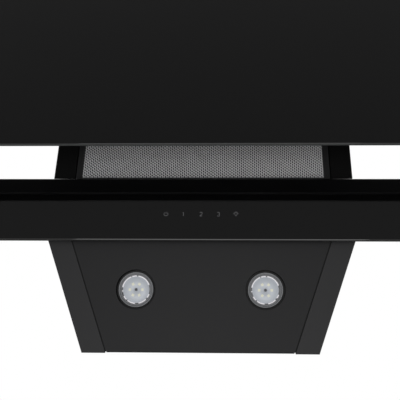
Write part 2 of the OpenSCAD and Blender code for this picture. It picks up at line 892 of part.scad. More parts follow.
// The double-width fan wheel
module fan_wheel() {
  blade_l = 15.5;
  blade_t = 1;
  rim_t = 2;
  r = wheel_d / 2;
  color("#25262a") fan_frame() difference() {
    union() {
      translate([0, 0, -rim_t / 2]) cylinder(r = r - 3, h = rim_t, $fn = 72);
      translate([0, 0, motor_nose + 2]) cylinder(r = 14, h = 16 - motor_nose - 4);
      for (z = [-wheel_w / 2, wheel_w / 2 - rim_t]) translate([0, 0, z]) difference() {
        cylinder(r = r, h = rim_t, $fn = 72);
        translate([0, 0, -cut]) cylinder(r = r - 4, h = rim_t + 2 * cut, $fn = 72);
      }
      for (i = [0 : blade_n - 1]) rotate([0, 0, i * 360 / blade_n])
        translate([blade_in, 0, -wheel_w / 2 + rim_t / 2]) rotate([0, 0, 35])
          cube([blade_l, blade_t, wheel_w - rim_t]);
    }
    translate([0, 0, -wheel_w]) cylinder(d = shaft_d, h = 2 * wheel_w);
  }
}

// --- Outlet -------------------------------------------------------------------------------------

knuckle_r = flap_pin_d / 2 + 1.5;                     // outside radius of the flaps' knuckles
flap_clear = 0.08;                                    // radial running clearance on the flap pin
outlet_ri = outlet_d / 2 - outlet_t;                  // inside radius of the spigot
seat_drop = 0.3;                                      // room between the flaps and the seat under them
foot_t = 2;                                           // thickness of the ring that the spigot stands on

// A ring standing up from a height, between two radii
module ring(low, high, r_in, r_out) {
  translate([0, 0, low]) difference() {
    cylinder(r = r_out, h = high - low, $fn = 96);
    translate([0, 0, -cut]) cylinder(r = r_in, h = high - low + 2 * cut, $fn = 96);
  }
}

// The duct spigot
module outlet_collar() {
  color("#2b2c2e") outlet_frame() difference() {
    ring(foot_t, outlet_h, outlet_ri, outlet_d / 2);
    translate([0, 0, flap_up]) rod_x(flap_pin_d / 2, -outlet_d, outlet_d);
  }
}

// The foot ring that the spigot stands on, clamped to the top panel
module outlet_foot() {
  foot_w = 14;
  color("#2b2c2e") outlet_frame() ring(0, foot_t, outlet_ri, outlet_d / 2 + foot_w);
}

// The seat ring that the flaps close on, notched for their knuckles
module flap_seat() {
  seat_w = 4;
  seat_t = 1.5;
  high = flap_up - flap_t / 2 - seat_drop;
  color("#2b2c2e") outlet_frame() difference() {
    ring(high - seat_t, high, outlet_ri - seat_w, outlet_ri);
    translate([0, 0, flap_up]) rod_x(knuckle_r + 0.6, -outlet_ri, outlet_ri);
  }
}

// The pin across the spigot that both flaps hang on
module flap_pin() {
  color("silver") outlet_frame() translate([0, 0, flap_up])
    rod_x(flap_pin_d / 2, -outlet_d / 2, outlet_d / 2);
}

// One half-round flap. side is -1 for the front flap and 1 for the rear one, and the knuckles take turns
module flap(side) {
  room = 1;
  count = 6;
  long = 2 * (outlet_ri - 4) / count;
  r = outlet_ri - room;
  start = side < 0 ? 0 : 1;
  outlet_frame() translate([0, 0, flap_up]) difference() {
    union() {
      intersection() {
        translate([0, 0, -flap_t / 2]) cylinder(r = r, h = flap_t, $fn = 96);
        translate([-r, side < 0 ? -r : knuckle_r + 0.4, -flap_t])
          cube([2 * r, r - knuckle_r - 0.4, 2 * flap_t]);
      }
      for (i = [start : 2 : count - 1]) translate([-outlet_ri + 4 + i * long + 0.3, 0, 0]) {
        rod_x(knuckle_r, 0, long - 0.6);
        translate([0, side < 0 ? -knuckle_r - 2 : 0, -flap_t / 2]) cube([long - 0.6, knuckle_r + 2, flap_t]);
      }
    }
    rod_x(flap_pin_d / 2 + flap_clear, -outlet_d, outlet_d);
  }
}

module front_flap() {
  color("#d8d8d4") flap(-1);
}

module rear_flap() {
  color("#d8d8d4") flap(1);
}

// --- Electrics ----------------------------------------------------------------------------------

box_w = 120;
box_d = 34;
box_h = 60;
box_z = 80;
box_t = 2;

// The control box on the back panel, open towards the front
module control_box() {
  color("#e6e6e2") wall_frame() difference() {
    block([-box_w / 2, -sheet_t - box_d, box_z], [box_w / 2, -sheet_t, box_z + box_h]);
    block([-box_w / 2 + box_t, -sheet_t - box_d - cut, box_z + box_t],
          [box_w / 2 - box_t, -sheet_t - box_t, box_z + box_h - box_t]);
  }
}

// The cover of the control box, with the lip that locates it
module control_cover() {
  gap = 0.3;
  lip = 4;
  color("#e6e6e2") wall_frame() difference() {
    union() {
      block([-box_w / 2, -sheet_t - box_d - box_t, box_z], [box_w / 2, -sheet_t - box_d, box_z + box_h]);
      block([-box_w / 2 + box_t + gap, -sheet_t - box_d, box_z + box_t + gap],
            [box_w / 2 - box_t - gap, -sheet_t - box_d + lip, box_z + box_h - box_t - gap]);
    }
    block([-box_w / 2 + 2 * box_t + gap, -sheet_t - box_d, box_z + 2 * box_t + gap],
          [box_w / 2 - 2 * box_t - gap, cut, box_z + box_h - 2 * box_t - gap]);
  }
}

// The motor capacitor, on its saddle
module capacitor() {
  r = 15;
  stand = 5;
  color("#c9cacc") wall_frame() translate([105, -sheet_t - r - stand, 195]) union() {
    cylinder(r = r, h = 55);
    translate([-6, 0, 10]) cube([12, r + stand, 30]);
  }
}

gland_r = 8;

// Where the mains lead enters, in the top panel
module gland_frame() {
  wall_frame() translate([back_w / 2 - centre_in - 20, -55, top_z]) children();
}

// The rubber gland that the mains lead passes through
module cable_gland() {
  head_t = 3;
  below = 8;
  color("#101010") gland_frame() difference() {
    union() {
      cylinder(r = gland_r + 4, h = head_t);
      translate([0, 0, -sheet_t - below]) cylinder(r = gland_r, h = sheet_t + below + cut);
      translate([0, 0, -sheet_t - head_t]) cylinder(r = gland_r + 3, h = head_t);
    }
    translate([0, 0, -sheet_t - below - cut]) cylinder(d = cable_d, h = 10 * head_t);
  }
}

// --- Nodes --------------------------------------------------------------------------------------

side_panel(-1);  // side_panel_left
side_panel(1);  // side_panel_right
base_panel();
front_sill();
front_header();
top_panel();
back_panel();
panel_screws();
filter_rail(-1);  // filter_rail_left
filter_rail(1);  // filter_rail_right
filter_frame();
filter_mesh();
filter_pad();
latch_case();
latch_slider();
lower_glass();
glass_carrier();
touch_board();
upper_glass();
panel_tray();
tray_ribs();
hinge_arm(-1);  // hinge_arm_left
hinge_arm(1);  // hinge_arm_right
hinge_ear(-1);  // hinge_ear_left
hinge_ear(1);  // hinge_ear_right
hinge_pin(-1);  // hinge_pin_left
hinge_pin(1);  // hinge_pin_right
stop_post(-1);  // stop_post_left
stop_post(1);  // stop_post_right
stop_buffer(-1);  // stop_buffer_left
stop_buffer(1);  // stop_buffer_right
lamp_cup(-1);  // lamp_cup_left
lamp_cup(1);  // lamp_cup_right
lamp_can(-1);  // lamp_can_left
lamp_can(1);  // lamp_can_right
lamp_bezel(-1);  // lamp_bezel_left
lamp_bezel(1);  // lamp_bezel_right
lamp_board(-1);  // lamp_board_left
lamp_board(1);  // lamp_board_right
lamp_chips(-1);  // lamp_chips_left
lamp_chips(1);  // lamp_chips_right
lamp_screws();
scroll_half(-1);  // scroll_left
scroll_half(1);  // scroll_right
inlet_ring(-1);  // inlet_ring_left
inlet_ring(1);  // inlet_ring_right
motor();
motor_bracket();
motor_shaft();
fan_wheel();
outlet_collar();
outlet_foot();
flap_seat();
flap_pin();
front_flap();
rear_flap();
control_box();
control_cover();
capacitor();
cable_gland();
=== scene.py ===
# %% [markdown]
# # A wall-hung angled range hood
#
# The hood is a folded sheet body with two black glass panels in front of it. Air goes up through the slot
# between the panels, through a filter of expanded aluminium and out of the duct spigot on top. This lesson
# dresses a finished mechanical model: the model gives every part its size and place, and the cells below
# give the parts their finishes and rebuild those whose fine shape matters, such as the glass edges.

# %% Load the mechanical model
import json

import bmesh
import bpy
import numpy as np
from mathutils import Matrix, Vector


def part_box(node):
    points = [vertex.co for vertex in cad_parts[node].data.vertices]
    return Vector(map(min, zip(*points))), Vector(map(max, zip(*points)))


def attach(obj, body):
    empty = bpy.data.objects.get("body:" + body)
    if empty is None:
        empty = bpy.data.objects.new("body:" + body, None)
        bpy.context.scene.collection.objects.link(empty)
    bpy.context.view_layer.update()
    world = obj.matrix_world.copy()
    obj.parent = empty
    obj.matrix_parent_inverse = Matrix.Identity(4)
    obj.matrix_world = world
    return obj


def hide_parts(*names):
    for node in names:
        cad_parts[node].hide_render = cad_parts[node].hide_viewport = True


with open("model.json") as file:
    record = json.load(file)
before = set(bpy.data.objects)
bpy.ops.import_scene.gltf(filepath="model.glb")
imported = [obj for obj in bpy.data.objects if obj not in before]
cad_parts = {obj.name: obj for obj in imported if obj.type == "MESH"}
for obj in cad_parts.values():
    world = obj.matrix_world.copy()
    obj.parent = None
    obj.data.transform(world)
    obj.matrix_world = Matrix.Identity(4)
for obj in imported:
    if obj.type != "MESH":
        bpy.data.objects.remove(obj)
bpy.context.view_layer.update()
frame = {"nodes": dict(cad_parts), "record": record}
nodes = frame["nodes"]
record = frame["record"]
slot_of = {part["node"]: part["material_slot"] for part in record["subparts"]}
body_of = {n: b for b, members in record["behaviour"]["bodies"].items() for n in members}

# %% [markdown]
# ## The hood's own directions
#
# Three flat faces carry almost everything: the sloping lamp panel, the filter front that leans out above it,
# and the upper glass, which is folded a little away from the filter front. On each face a point is easiest
# to give as (x, s, n): across, up the face, and out of it. One function turns such points, as whole arrays,
# into the hood's frame. The alternative is to turn each object afterwards, but then its pattern turns too.

# %% Face directions
MM = 0.001
BASE_LEAN, FRONT_LEAN, PANEL_FOLD = np.radians([58.0, 35.0, 11.1])   # leans from the vertical, and the fold
BASE_LEN = 166.6 * MM                                                # lamp panel, wall edge to front corner
HINGE_UP, HINGE_OUT = 455 * MM, 5 * MM                               # hinge axis, up and out of the front
HINGE_TO_EDGE, HINGE_TO_GLASS = 369 * MM, 9.2 * MM                   # hinge axis to the glass's lower edge

wall_edge = np.array([0.0, 0.0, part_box("side_panel_left")[0].z])
corner = wall_edge + BASE_LEN * np.array([0.0, -np.sin(BASE_LEAN), np.cos(BASE_LEAN)])


def on_face(points, origin, lean):
    """The origin plus (x, -s sin(lean) - n cos(lean), s cos(lean) - n sin(lean))."""
    p = np.asarray(points, float)
    x, s, n = p[..., 0], p[..., 1], p[..., 2]
    y = -s * np.sin(lean) - n * np.cos(lean)
    z = s * np.cos(lean) - n * np.sin(lean)
    return np.stack([x, y, z], -1) + origin


def on_base(points):
    """A point on the lamp panel: s runs from the wall edge up to the front corner."""
    return on_face(points, wall_edge, BASE_LEAN)


def on_front(points):
    """A point on the filter front: s runs up from the front corner."""
    return on_face(points, corner, FRONT_LEAN)


def on_upper_glass(points):
    """A point on the upper glass: s runs up its back from its lower edge, n is out of the room side."""
    hinge = on_front([0, HINGE_UP, HINGE_OUT])
    shifted = np.asarray(points, float) + [0, -HINGE_TO_EDGE, HINGE_TO_GLASS]
    return on_face(shifted, hinge, FRONT_LEAN - PANEL_FOLD)


print("front corner at", corner.round(4))

# %% [markdown]
# ## Camera
#
# The hood hangs above eye level, so it is seen from below and a little to one side. A long lens keeps the
# sides of the body nearly parallel. The camera's axes are worked out from a pitch, a turn and a roll.

# %% Camera
EYE = Vector((0.0482, -0.6455, -1.4320))
PITCH, TURN, ROLL = np.radians([67.984, 6.165, 5.7625])
FOCAL_PER_WIDTH = 2.15355                                            # focal length over the width of the view


def camera_axes(pitch, turn, roll):
    """The right, up and forward axes of a camera that looks up by pitch, then turns about Z, then rolls."""
    forward = Vector((0, np.cos(pitch), np.sin(pitch)))
    up = Vector((0, -np.sin(pitch), np.cos(pitch)))
    about_z = Matrix.Rotation(turn, 3, "Z")
    forward, up, right = about_z @ forward, about_z @ up, about_z @ Vector((1, 0, 0))
    return np.cos(roll) * right + np.sin(roll) * up, np.cos(roll) * up - np.sin(roll) * right, forward


right, up, forward = camera_axes(PITCH, TURN, ROLL)
camera_data = bpy.data.cameras.new("camera")
camera_data.sensor_width = 36
camera_data.lens = FOCAL_PER_WIDTH * camera_data.sensor_width
camera = bpy.data.objects.new("camera", camera_data)
camera.matrix_world = Matrix((right, up, -forward)).transposed().to_4x4()
camera.location = EYE
bpy.context.scene.collection.objects.link(camera)
bpy.context.scene.camera = camera
print("lens", round(camera_data.lens, 1), "mm")

# %% [markdown]
# ## Surfaces from arrays
#
# Every new piece is a grid of points, worked out as one numpy array with two indices. A grid can close on
# itself either way, as a ring or a tube does. A piece's object stays at the origin with its place in its
# mesh, so a pattern that reads Object coordinates has the same scale on every part.

# %% Grid to mesh
WELD = 0.001 * MM                                                    # points closer than this are one point


def grid_faces(rows, columns, wrap_rows, wrap_columns):
    """The four corners of each cell of a grid, as indices: point (i, j) has index i * columns + j."""
    i = np.arange(rows if wrap_rows else rows - 1)[:, None]
    j = np.arange(columns if wrap_columns else columns - 1)[None, :]
    i1, j1 = (i + 1) % rows, (j + 1) % columns
    a, b, c, d = i * columns + j, i1 * columns + j, i1 * columns + j1, i * columns + j1
    return np.stack([np.broadcast_to(q, a.shape) for q in (a, b, c, d)], -1).reshape(-1, 4)


def outwards(mesh):
    """Merges doubled points and turns every face outwards."""
    shape = bmesh.new()
    shape.from_mesh(mesh)
    bmesh.ops.remove_doubles(shape, verts=shape.verts, dist=WELD)
    bmesh.ops.recalc_face_normals(shape, faces=shape.faces)
    shape.to_mesh(mesh)
    shape.free()


def make_piece(name, vertices, faces, body, finish, smooth=True):
    """A mesh object from arrays of points and faces, welded, with its faces outwards, riding on a body."""
    mesh = bpy.data.meshes.new(name)
    mesh.from_pydata(np.asarray(vertices).tolist(), [], [list(f) for f in faces])
    mesh.update()
    piece = bpy.data.objects.new(name, mesh)
    bpy.context.scene.collection.objects.link(piece)
    outwards(mesh)
    mesh.polygons.foreach_set("use_smooth", np.full(len(mesh.polygons), smooth))
    mesh.materials.append(finish)
    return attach(piece, body)


def grid_piece(name, grid, body, finish, wrap_rows=False, wrap_columns=False, smooth=True):
    """A piece from one grid of points."""
    rows, columns = grid.shape[:2]
    faces = grid_faces(rows, columns, wrap_rows, wrap_columns)
    return make_piece(name, grid.reshape(-1, 3), faces, body, finish, smooth)


def face_values(mesh, field):
    """The "normal" or the "center" of every face of a mesh, as one array."""
    values = np.empty(3 * len(mesh.polygons))
    mesh.polygons.foreach_get(field, values)
    return values.reshape(-1, 3)


def second_finish(mesh, finish, chosen):
    """Gives the chosen faces of a mesh a second finish."""
    mesh.materials.append(finish)
    mesh.polygons.foreach_set("material_index", chosen.astype(np.int32))


print("one cell of a 2 by 2 grid:", grid_faces(2, 2, False, False).tolist())

# %% [markdown]
# ## Shader maths as plain expressions
#
# A finish is a small network of nodes. Writing it as expressions, such as `0.3 + 0.1 * grain`, is easier to
# read than wiring it by hand, so a small class wraps a socket and adds a Math node for each operator.

# %% Wire and Finish


def add_node(tree, kind, settings, inputs):
    """Adds a node to a tree: its settings first, then the value or the incoming link of each input."""
    added = tree.nodes.new(kind)
    for key, value in settings.items():
        setattr(added, key, value)
    for key, value in inputs.items():
        if isinstance(value, bpy.types.NodeSocket):
            tree.links.new(value, added.inputs[key])
        else:
            added.inputs[key].default_value = value
    return added


class Wire:
    """A shader socket that can be added, multiplied and so on, with other wires or with numbers."""

    def __init__(self, finish, socket):
        self.finish, self.socket = finish, socket

    def math(self, operation, a, b):
        return self.finish.node("ShaderNodeMath", {"operation": operation}, {0: a, 1: b})

    def __add__(self, other):
        return self.math("ADD", self, other)

    def __sub__(self, other):
        return self.math("SUBTRACT", self, other)

    def __mul__(self, other):
        return self.math("MULTIPLY", self, other)

    def __pow__(self, other):
        return self.math("POWER", self, other)

    def __rsub__(self, other):
        return self.math("SUBTRACT", other, self)

    __radd__, __rmul__ = __add__, __mul__


class Finish:
    """A material with one Principled shader, and methods that add the nodes that vary it."""

    def __init__(self, name, color, roughness, metallic=0.0, **sockets):
        self.material = bpy.data.materials.new(name)
        self.material.use_nodes = True
        self.material.diffuse_color = (*color, 1)
        self.tree = self.material.node_tree
        self.shader = self.tree.nodes["Principled BSDF"]
        self.color = (*color, 1)
        values = {"Base Color": self.color, "Roughness": roughness, "Metallic": metallic}
        values.update({key.replace("_", " "): value for key, value in sockets.items()})
        for key, value in values.items():
            self.shader.inputs[key].default_value = value
        self.place = self.node("ShaderNodeTexCoord", {}, {}, "Object")

    def node(self, kind, settings, inputs, output=0):
        """Adds a node whose inputs may be wires, and gives one of its outputs as a wire."""
        inputs = {key: value.socket if isinstance(value, Wire) else value for key, value in inputs.items()}
        return Wire(self, add_node(self.tree, kind, settings, inputs).outputs[output])

    def noise(self, scale, detail=2.0, stretch=(1, 1, 1)):
        """Noise from 0 to 1 on Object coordinates, with `scale` blotches to the metre."""
        at = self.node("ShaderNodeMapping", {}, {"Vector": self.place, "Scale": stretch})
        return self.node("ShaderNodeTexNoise", {}, {"Vector": at, "Scale": scale, "Detail": detail}, "Fac")

    def shade(self, amount, dark=0.8, light=1.2):
        """The base colour, varied from `dark` to `light` times itself by a wire from 0 to 1."""
        low, high = ([c * f for c in self.color[:3]] + [1] for f in (dark, light))
        factor, first, second, mixed = 0, 6, 7, 2                    # a Mix node's sockets for colours
        inputs = {factor: amount, first: low, second: high}
        return self.node("ShaderNodeMix", {"data_type": "RGBA"}, inputs, mixed)

    def feed(self, socket, wire):
        """Links a wire to one of the shader's sockets."""
        self.tree.links.new(wire.socket, self.shader.inputs[socket])
        return self

    def bump(self, height, strength, distance):
        """Feeds a height from 0 to 1, times a distance in metres, to the shader's Normal."""
        inputs = {"Height": height, "Strength": strength, "Distance": distance}
        return self.feed("Normal", self.node("ShaderNodeBump", {}, inputs))


# %% [markdown]
# ## Paints, metals and plastics
#
# Powder coat is a sprayed dust that melts into a skin like fine orange peel, so it is two sizes of noise in
# the bump and a little of the same noise in the roughness. Plated steel has long scratches, so its noise is
# stretched. Moulded plastic has a sparkle of fine grain. Each kind is one function with its colour, so that
# the same recipe serves several parts.

# %% Recipes


def powder_coat(name, color, roughness, grain=2600, depth=0.04 * MM, **sockets):
    """Sprayed powder paint: fine peel over soft waves."""
    finish = Finish(name, color, roughness, **sockets)
    fine, soft = finish.noise(grain, 3), finish.noise(90, 2)
    finish.feed("Base Color", finish.shade(0.65 * fine + 0.35 * soft, 0.7, 1.3))
    finish.feed("Roughness", (roughness - 0.08) + 0.12 * fine + 0.04 * soft)
    return finish.bump(fine + 0.5 * soft, 0.5, depth).material


def plated_steel(name, color=(0.45, 0.46, 0.48), roughness=0.32):
    """Rolled and plated steel: long scratches along x and cloudy plating."""
    finish = Finish(name, color, roughness, 1.0)
    scratches, clouds = finish.noise(900, 3, (1, 14, 14)), finish.noise(60, 3)
    finish.feed("Base Color", finish.shade(0.5 * scratches + 0.5 * clouds, 0.75, 1.2))
    finish.feed("Roughness", (roughness - 0.1) + 0.2 * scratches + 0.08 * clouds)
    return finish.bump(scratches, 0.25, 0.02 * MM).material


def moulded(name, color, roughness=0.45):
    """Moulded plastic or rubber: fine grain and faint flow marks."""
    finish = Finish(name, color, roughness)
    fine, flow = finish.noise(3200, 2), finish.noise(35, 3)
    finish.feed("Base Color", finish.shade(flow, 0.88, 1.1))
    finish.feed("Roughness", (roughness - 0.06) + 0.12 * fine)
    return finish.bump(fine, 0.3, 0.03 * MM).material


def cast_metal(name, color, roughness=0.42, metallic=1.0):
    """Die-cast or drawn metal: a pebbled skin with darker hollows."""
    finish = Finish(name, color, roughness, metallic)
    pebbles, clouds = finish.noise(1500, 3), finish.noise(80, 3)
    finish.feed("Base Color", finish.shade(0.6 * pebbles + 0.4 * clouds, 0.7, 1.15))
    finish.feed("Roughness", (roughness - 0.1) + 0.2 * pebbles)
    return finish.bump(pebbles, 0.35, 0.04 * MM).material


# %% [markdown]
# ## Glass and light
#
# The panels are tempered glass with black enamel on the back. The enamel makes them opaque, so a clear
# volume would only cost time: a near-black base under a smooth skin gives the same mirror. A faint wave
# in the roughness stands for wiping marks. The flat of the ground edge scatters light and looks grey. The
# lamp's board, the wall at its rim and its chips get a faint glow of their own colour: painted light that
# makes them look lit.

# %% Glass, ink and lamp finishes


def black_glass(name):
    """Enamelled glass: near black, smooth, with faint wiping marks in its roughness."""
    finish = Finish(name, (0.0014, 0.0014, 0.0015), 0.02, IOR=1.5)
    wipes = finish.noise(7, 3, (1, 3, 3))
    finish.feed("Roughness", 0.012 + 0.03 * wipes ** 2)
    return finish.feed("Base Color", finish.shade(finish.noise(400, 2), 0.8, 1.2)).material


def ground_edge(name):
    """The ground edge of the glass: grey, with the grinding wheel's lines along it."""
    finish = Finish(name, (0.03, 0.032, 0.032), 0.3)
    lines = finish.noise(700, 2, (1, 6, 6))
    finish.feed("Base Color", finish.shade(lines, 0.8, 1.2))
    return finish.feed("Roughness", 0.22 + 0.2 * lines).material


def painted_glow(name, color, strength):
    """A part of the lamp given a faint glow of its own colour, painted light that makes it look lit, mottled
    like phosphor or moulded lens plastic.
    """
    finish = Finish(name, color, 0.35, Emission_Strength=strength)
    mottle = finish.noise(1400, 2)
    finish.feed("Base Color", finish.shade(mottle, 0.9, 1.08))
    return finish.feed("Emission Color", finish.shade(mottle, 0.9, 1.08)).material


FINISHES = {
    "body_paint": powder_coat("body_paint", (0.014, 0.014, 0.015), 0.5, Specular_IOR_Level=0.2),
    "lamp_panel_paint": powder_coat("lamp_panel_paint", (0.008, 0.008, 0.0088), 0.55,
                                    Specular_IOR_Level=0.2),
    "front_paint": powder_coat("front_paint", (0.003, 0.003, 0.003), 0.6, Specular_IOR_Level=0.15),
    "filter_rim": powder_coat("filter_rim", (0.016, 0.016, 0.0165), 0.5, Specular_IOR_Level=0.3),
    "filter_metal": cast_metal("filter_metal", (0.78, 0.78, 0.795), 0.5, 0.3),
    "latch_plastic": moulded("latch_plastic", (0.02, 0.02, 0.021)),
    "black_glass": black_glass("black_glass"),
    "tray_paint": powder_coat("tray_paint", (0.14, 0.14, 0.145), 0.5),
    "board_green": moulded("board_green", (0.02, 0.1, 0.04), 0.35),
    "zinc_steel": plated_steel("zinc_steel"),
    "rubber_black": moulded("rubber_black", (0.01, 0.01, 0.01), 0.75),
    "lamp_cup_plastic": moulded("lamp_cup_plastic", (0.004, 0.004, 0.004), 0.6),
    "lamp_can_metal": cast_metal("lamp_can_metal", (0.5, 0.5, 0.52)),
    "lamp_bezel_metal": powder_coat("lamp_bezel_metal", (0.133, 0.136, 0.144), 0.38, 1800, 0.01 * MM),
    # The board and the chips glow faintly: painted light that makes them look lit.
    "lamp_board_white": painted_glow("lamp_board_white", (0.32, 0.34, 0.37), 0.35),
    "lamp_chip_yellow": painted_glow("lamp_chip_yellow", (0.45, 0.445, 0.36), 0.4),
    "housing_plastic": moulded("housing_plastic", (0.03, 0.03, 0.032)),
    "motor_metal": powder_coat("motor_metal", (0.06, 0.065, 0.07), 0.4),
    "flap_plastic": moulded("flap_plastic", (0.6, 0.6, 0.57), 0.5),
    "box_plastic": moulded("box_plastic", (0.7, 0.7, 0.67), 0.5),
    "capacitor_metal": cast_metal("capacitor_metal", (0.55, 0.55, 0.56), 0.3),
}
GROUND_EDGE = ground_edge("ground_edge")
# The filter pad is nearly black: painted shade that stands for the light lost among its stacked open layers.
PAD_PAINTED_SHADE = cast_metal("pad_painted_shade", (0.03, 0.03, 0.031), 0.6, 0.5)
# The rim wall glows faintly: painted light that makes it look lit.
RIM_PAINTED_GLOW = painted_glow("rim_painted_glow", (0.5, 0.49, 0.51), 0.5)
KEY_INK = moulded("key_ink", (0.12, 0.12, 0.125), 0.4)
DARK_SCREW = plated_steel("dark_screw", (0.07, 0.07, 0.075), 0.45)
OWN_FINISH = {"filter_pad": PAD_PAINTED_SHADE, "lamp_screws": DARK_SCREW}
for name, node in nodes.items():
    node.data.materials.clear()
    node.data.materials.append(OWN_FINISH.get(name, FINISHES[slot_of[name]]))
print("finishes:", len(FINISHES), "on", len(nodes), "parts")

# %% [markdown]
# ## Folded sheet with soft edges
#
# A fold in sheet metal has a small radius, and a thick coat rounds a cut edge. The mechanical model has
# sharp edges, which catch no light. A welded copy of each part, with its flat triangles joined into whole
# faces, takes a narrow Bevel. The copy then stands for the part, which keeps its exact size.

# %% Soft-edged copies
LIP_DEPTH = 0.4 * MM                                                 # a lip lies further back than this
SAME_WAY = 0.97                                                      # cosine for faces that look alike
FINE_EDGE, SOFT_EDGE = 0.35 * MM, 0.5 * MM                           # widths of the rounded edges
FLAT, SHARP = np.radians([1, 30])                                    # less is one face, more is an edge


def out_of(place):
    """The direction out of a face, as one vector in the hood's frame."""
    return place([0, 0, 1]) - place([0, 0, 0])


def painted_shade_faces(mesh):
    """True for the faces painted dark as shade: each face of the filter front and each lip behind the lamp
    panel's surface.
    """
    normals, centres = face_values(mesh, "normal"), face_values(mesh, "center")
    behind = (centres - wall_edge) @ out_of(on_base) < -LIP_DEPTH
    return (normals @ out_of(on_front) > SAME_WAY) | (normals @ out_of(on_base) > SAME_WAY) & behind


def soft_edged(name, width):
    """A copy of a CAD part with its flat faces joined and its sharp edges rounded by `width`."""
    mesh = nodes[name].data.copy()
    shape = bmesh.new()
    shape.from_mesh(mesh)
    bmesh.ops.remove_doubles(shape, verts=shape.verts, dist=WELD)
    bmesh.ops.dissolve_limit(shape, angle_limit=FLAT, verts=shape.verts, edges=shape.edges)
    shape.to_mesh(mesh)
    shape.free()
    piece = bpy.data.objects.new(name + "_coated", mesh)
    bpy.context.scene.collection.objects.link(piece)
    bevel = piece.modifiers.new("soft_edge", "BEVEL")
    bevel.width, bevel.segments = width, 2
    bevel.limit_method, bevel.angle_limit = "ANGLE", SHARP
    mesh.polygons.foreach_set("use_smooth", np.full(len(mesh.polygons), False))
    # The side panels' faces in the gap between the glass panels and their lips behind the lamp panel take the
    # near-black front paint: painted shade.
    if name.startswith("side_panel"):
        second_finish(mesh, FINISHES["front_paint"], painted_shade_faces(mesh))
    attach(piece, body_of[name])
    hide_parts(name)
    return piece


FOLDED = ["side_panel_left", "side_panel_right", "base_panel", "front_sill", "front_header", "top_panel",
          "back_panel", "filter_frame", "filter_rail_left", "filter_rail_right", "panel_tray", "tray_ribs",
          "glass_carrier"]
SOLID = ["latch_case", "latch_slider", "hinge_arm_left", "hinge_arm_right", "control_box", "control_cover",
         "capacitor", "stop_buffer_left", "stop_buffer_right"]
for name in FOLDED:
    soft_edged(name, FINE_EDGE)
for name in SOLID:
    soft_edged(name, SOFT_EDGE)
print("soft edges on", len(FOLDED) + len(SOLID), "parts")

# %% [markdown]
# ## Glass panels
#
# Each panel is a sheet of glass with small round corners and a rounded, polished edge. Its outline is four
# arcs, and its edge is a profile carried round that outline: a quarter round at each face, and a ground flat
# between them. The grid's rows are the steps of the profile and its columns follow the outline. The last
# ring on each face shrinks to a line across the middle, which closes the face. A narrow ring before it keeps
# the smooth shading of the rounding off the flat face. A cube with a Bevel would look alike, but its
# corners could not be rounder than its edge.

# %% Glass sheets
GLASS_W, GLASS_T = 2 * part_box("upper_glass")[1].x, 5 * MM
UPPER_H, LOWER_H = 400 * MM, 105 * MM                                # heights of the two panels
LOWER_LOW, LOWER_BACK = -17 * MM, 10 * MM                            # lower glass: low edge, and its back
GLASS_CORNER, UPPER_EDGE_R, LOWER_EDGE_R = 4 * MM, 0.8 * MM, 2.4 * MM   # radii of corners and edges
FLAT_RING, EDGE_STEPS = 0.3 * MM, 6                                  # the narrow ring, and points per edge
SQUARE_TO = 0.1                                                      # cosine for faces square to the glass


def round_outline(width, height, radius, per_corner=8):
    """Points round a rectangle with arcs of `radius` at its corners, and the outward direction of each."""
    turn = np.radians(np.linspace(0, 90, per_corner))[None, :] + np.radians([0, 90, 180, 270])[:, None]
    away = np.stack([np.cos(turn), np.sin(turn)], -1)
    centre = np.array([[1, 1], [-1, 1], [-1, -1], [1, -1]]) * [width / 2 - radius, height / 2 - radius]
    return (centre[:, None, :] + radius * away).reshape(-1, 2), away.reshape(-1, 2)


def glass_sheet(name, place, low_edge, back, height, body, edge_radius):
    """A panel on a face: its rings are (inset, n) pairs, with r (1 - cos t, sin t) for the rounding."""
    outline, away = round_outline(GLASS_W, height, GLASS_CORNER)
    turn = np.radians(np.linspace(0, 90, EDGE_STEPS))
    rounding = np.column_stack([1 - np.cos(turn), np.sin(turn)]) * edge_radius
    flat = edge_radius + FLAT_RING
    profile = [(flat, 0), *[(inset, edge_radius - n) for inset, n in rounding[::-1]],
               *[(inset, GLASS_T - edge_radius + n) for inset, n in rounding], (flat, GLASS_T)]
    rings = [(outline - inset * away, n) for inset, n in profile]
    middle = (outline - flat * away) * [1, 0]
    rings = [(middle, 0), *rings, (middle, GLASS_T)]
    grid = np.stack([np.column_stack([ring, np.full(len(ring), n)]) for ring, n in rings])
    grid += [0, low_edge + height / 2, back]
    sheet = grid_piece(name, place(grid), body, FINISHES["black_glass"], wrap_columns=True)
    on_edge = np.abs(face_values(sheet.data, "normal") @ out_of(place)) < SQUARE_TO
    second_finish(sheet.data, GROUND_EDGE, on_edge)
    print(name, "faces:", len(on_edge), "of them ground:", int(on_edge.sum()))
    return sheet


upper = glass_sheet("upper_glass_panel", on_upper_glass, 0, 0, UPPER_H, "front_panel", UPPER_EDGE_R)
lower = glass_sheet("lower_glass_panel", on_front, LOWER_LOW, LOWER_BACK, LOWER_H, "hood_body", LOWER_EDGE_R)
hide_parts("upper_glass")
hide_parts("lower_glass")

# %% [markdown]
# ## Expanded aluminium
#
# The filter's face is sheet that was slit and pulled open, so it is a net of slanting strands that meet at
# staggered bonds. Each strand here is a zigzag bar from the sill to the header, and each neighbour zigzags
# the other way, so they touch at the bonds. One bar is a thin rectangle carried along a zigzag, and the
# strands are tilted, because pulling twists them. The whole net is a single array of bars, and a pattern
# in the finish alone would have no depth when it is seen from the side.

# %% Filter net
NET_HALF_W, NET_LOW, NET_HIGH, NET_N = 187 * MM, 92.6 * MM, 388.4 * MM, -2.05 * MM   # on the filter front
NET_PITCH, NET_STEP = 2.84 * MM, 2.43 * MM                           # across, and from bond to bond
STRAND_W, STRAND_T, STRAND_TILTS = 1.5 * MM, 0.5 * MM, (20, 17)      # tilts in degrees, by turns
BOND = 0.9                                                           # share of a strand's width at a bond


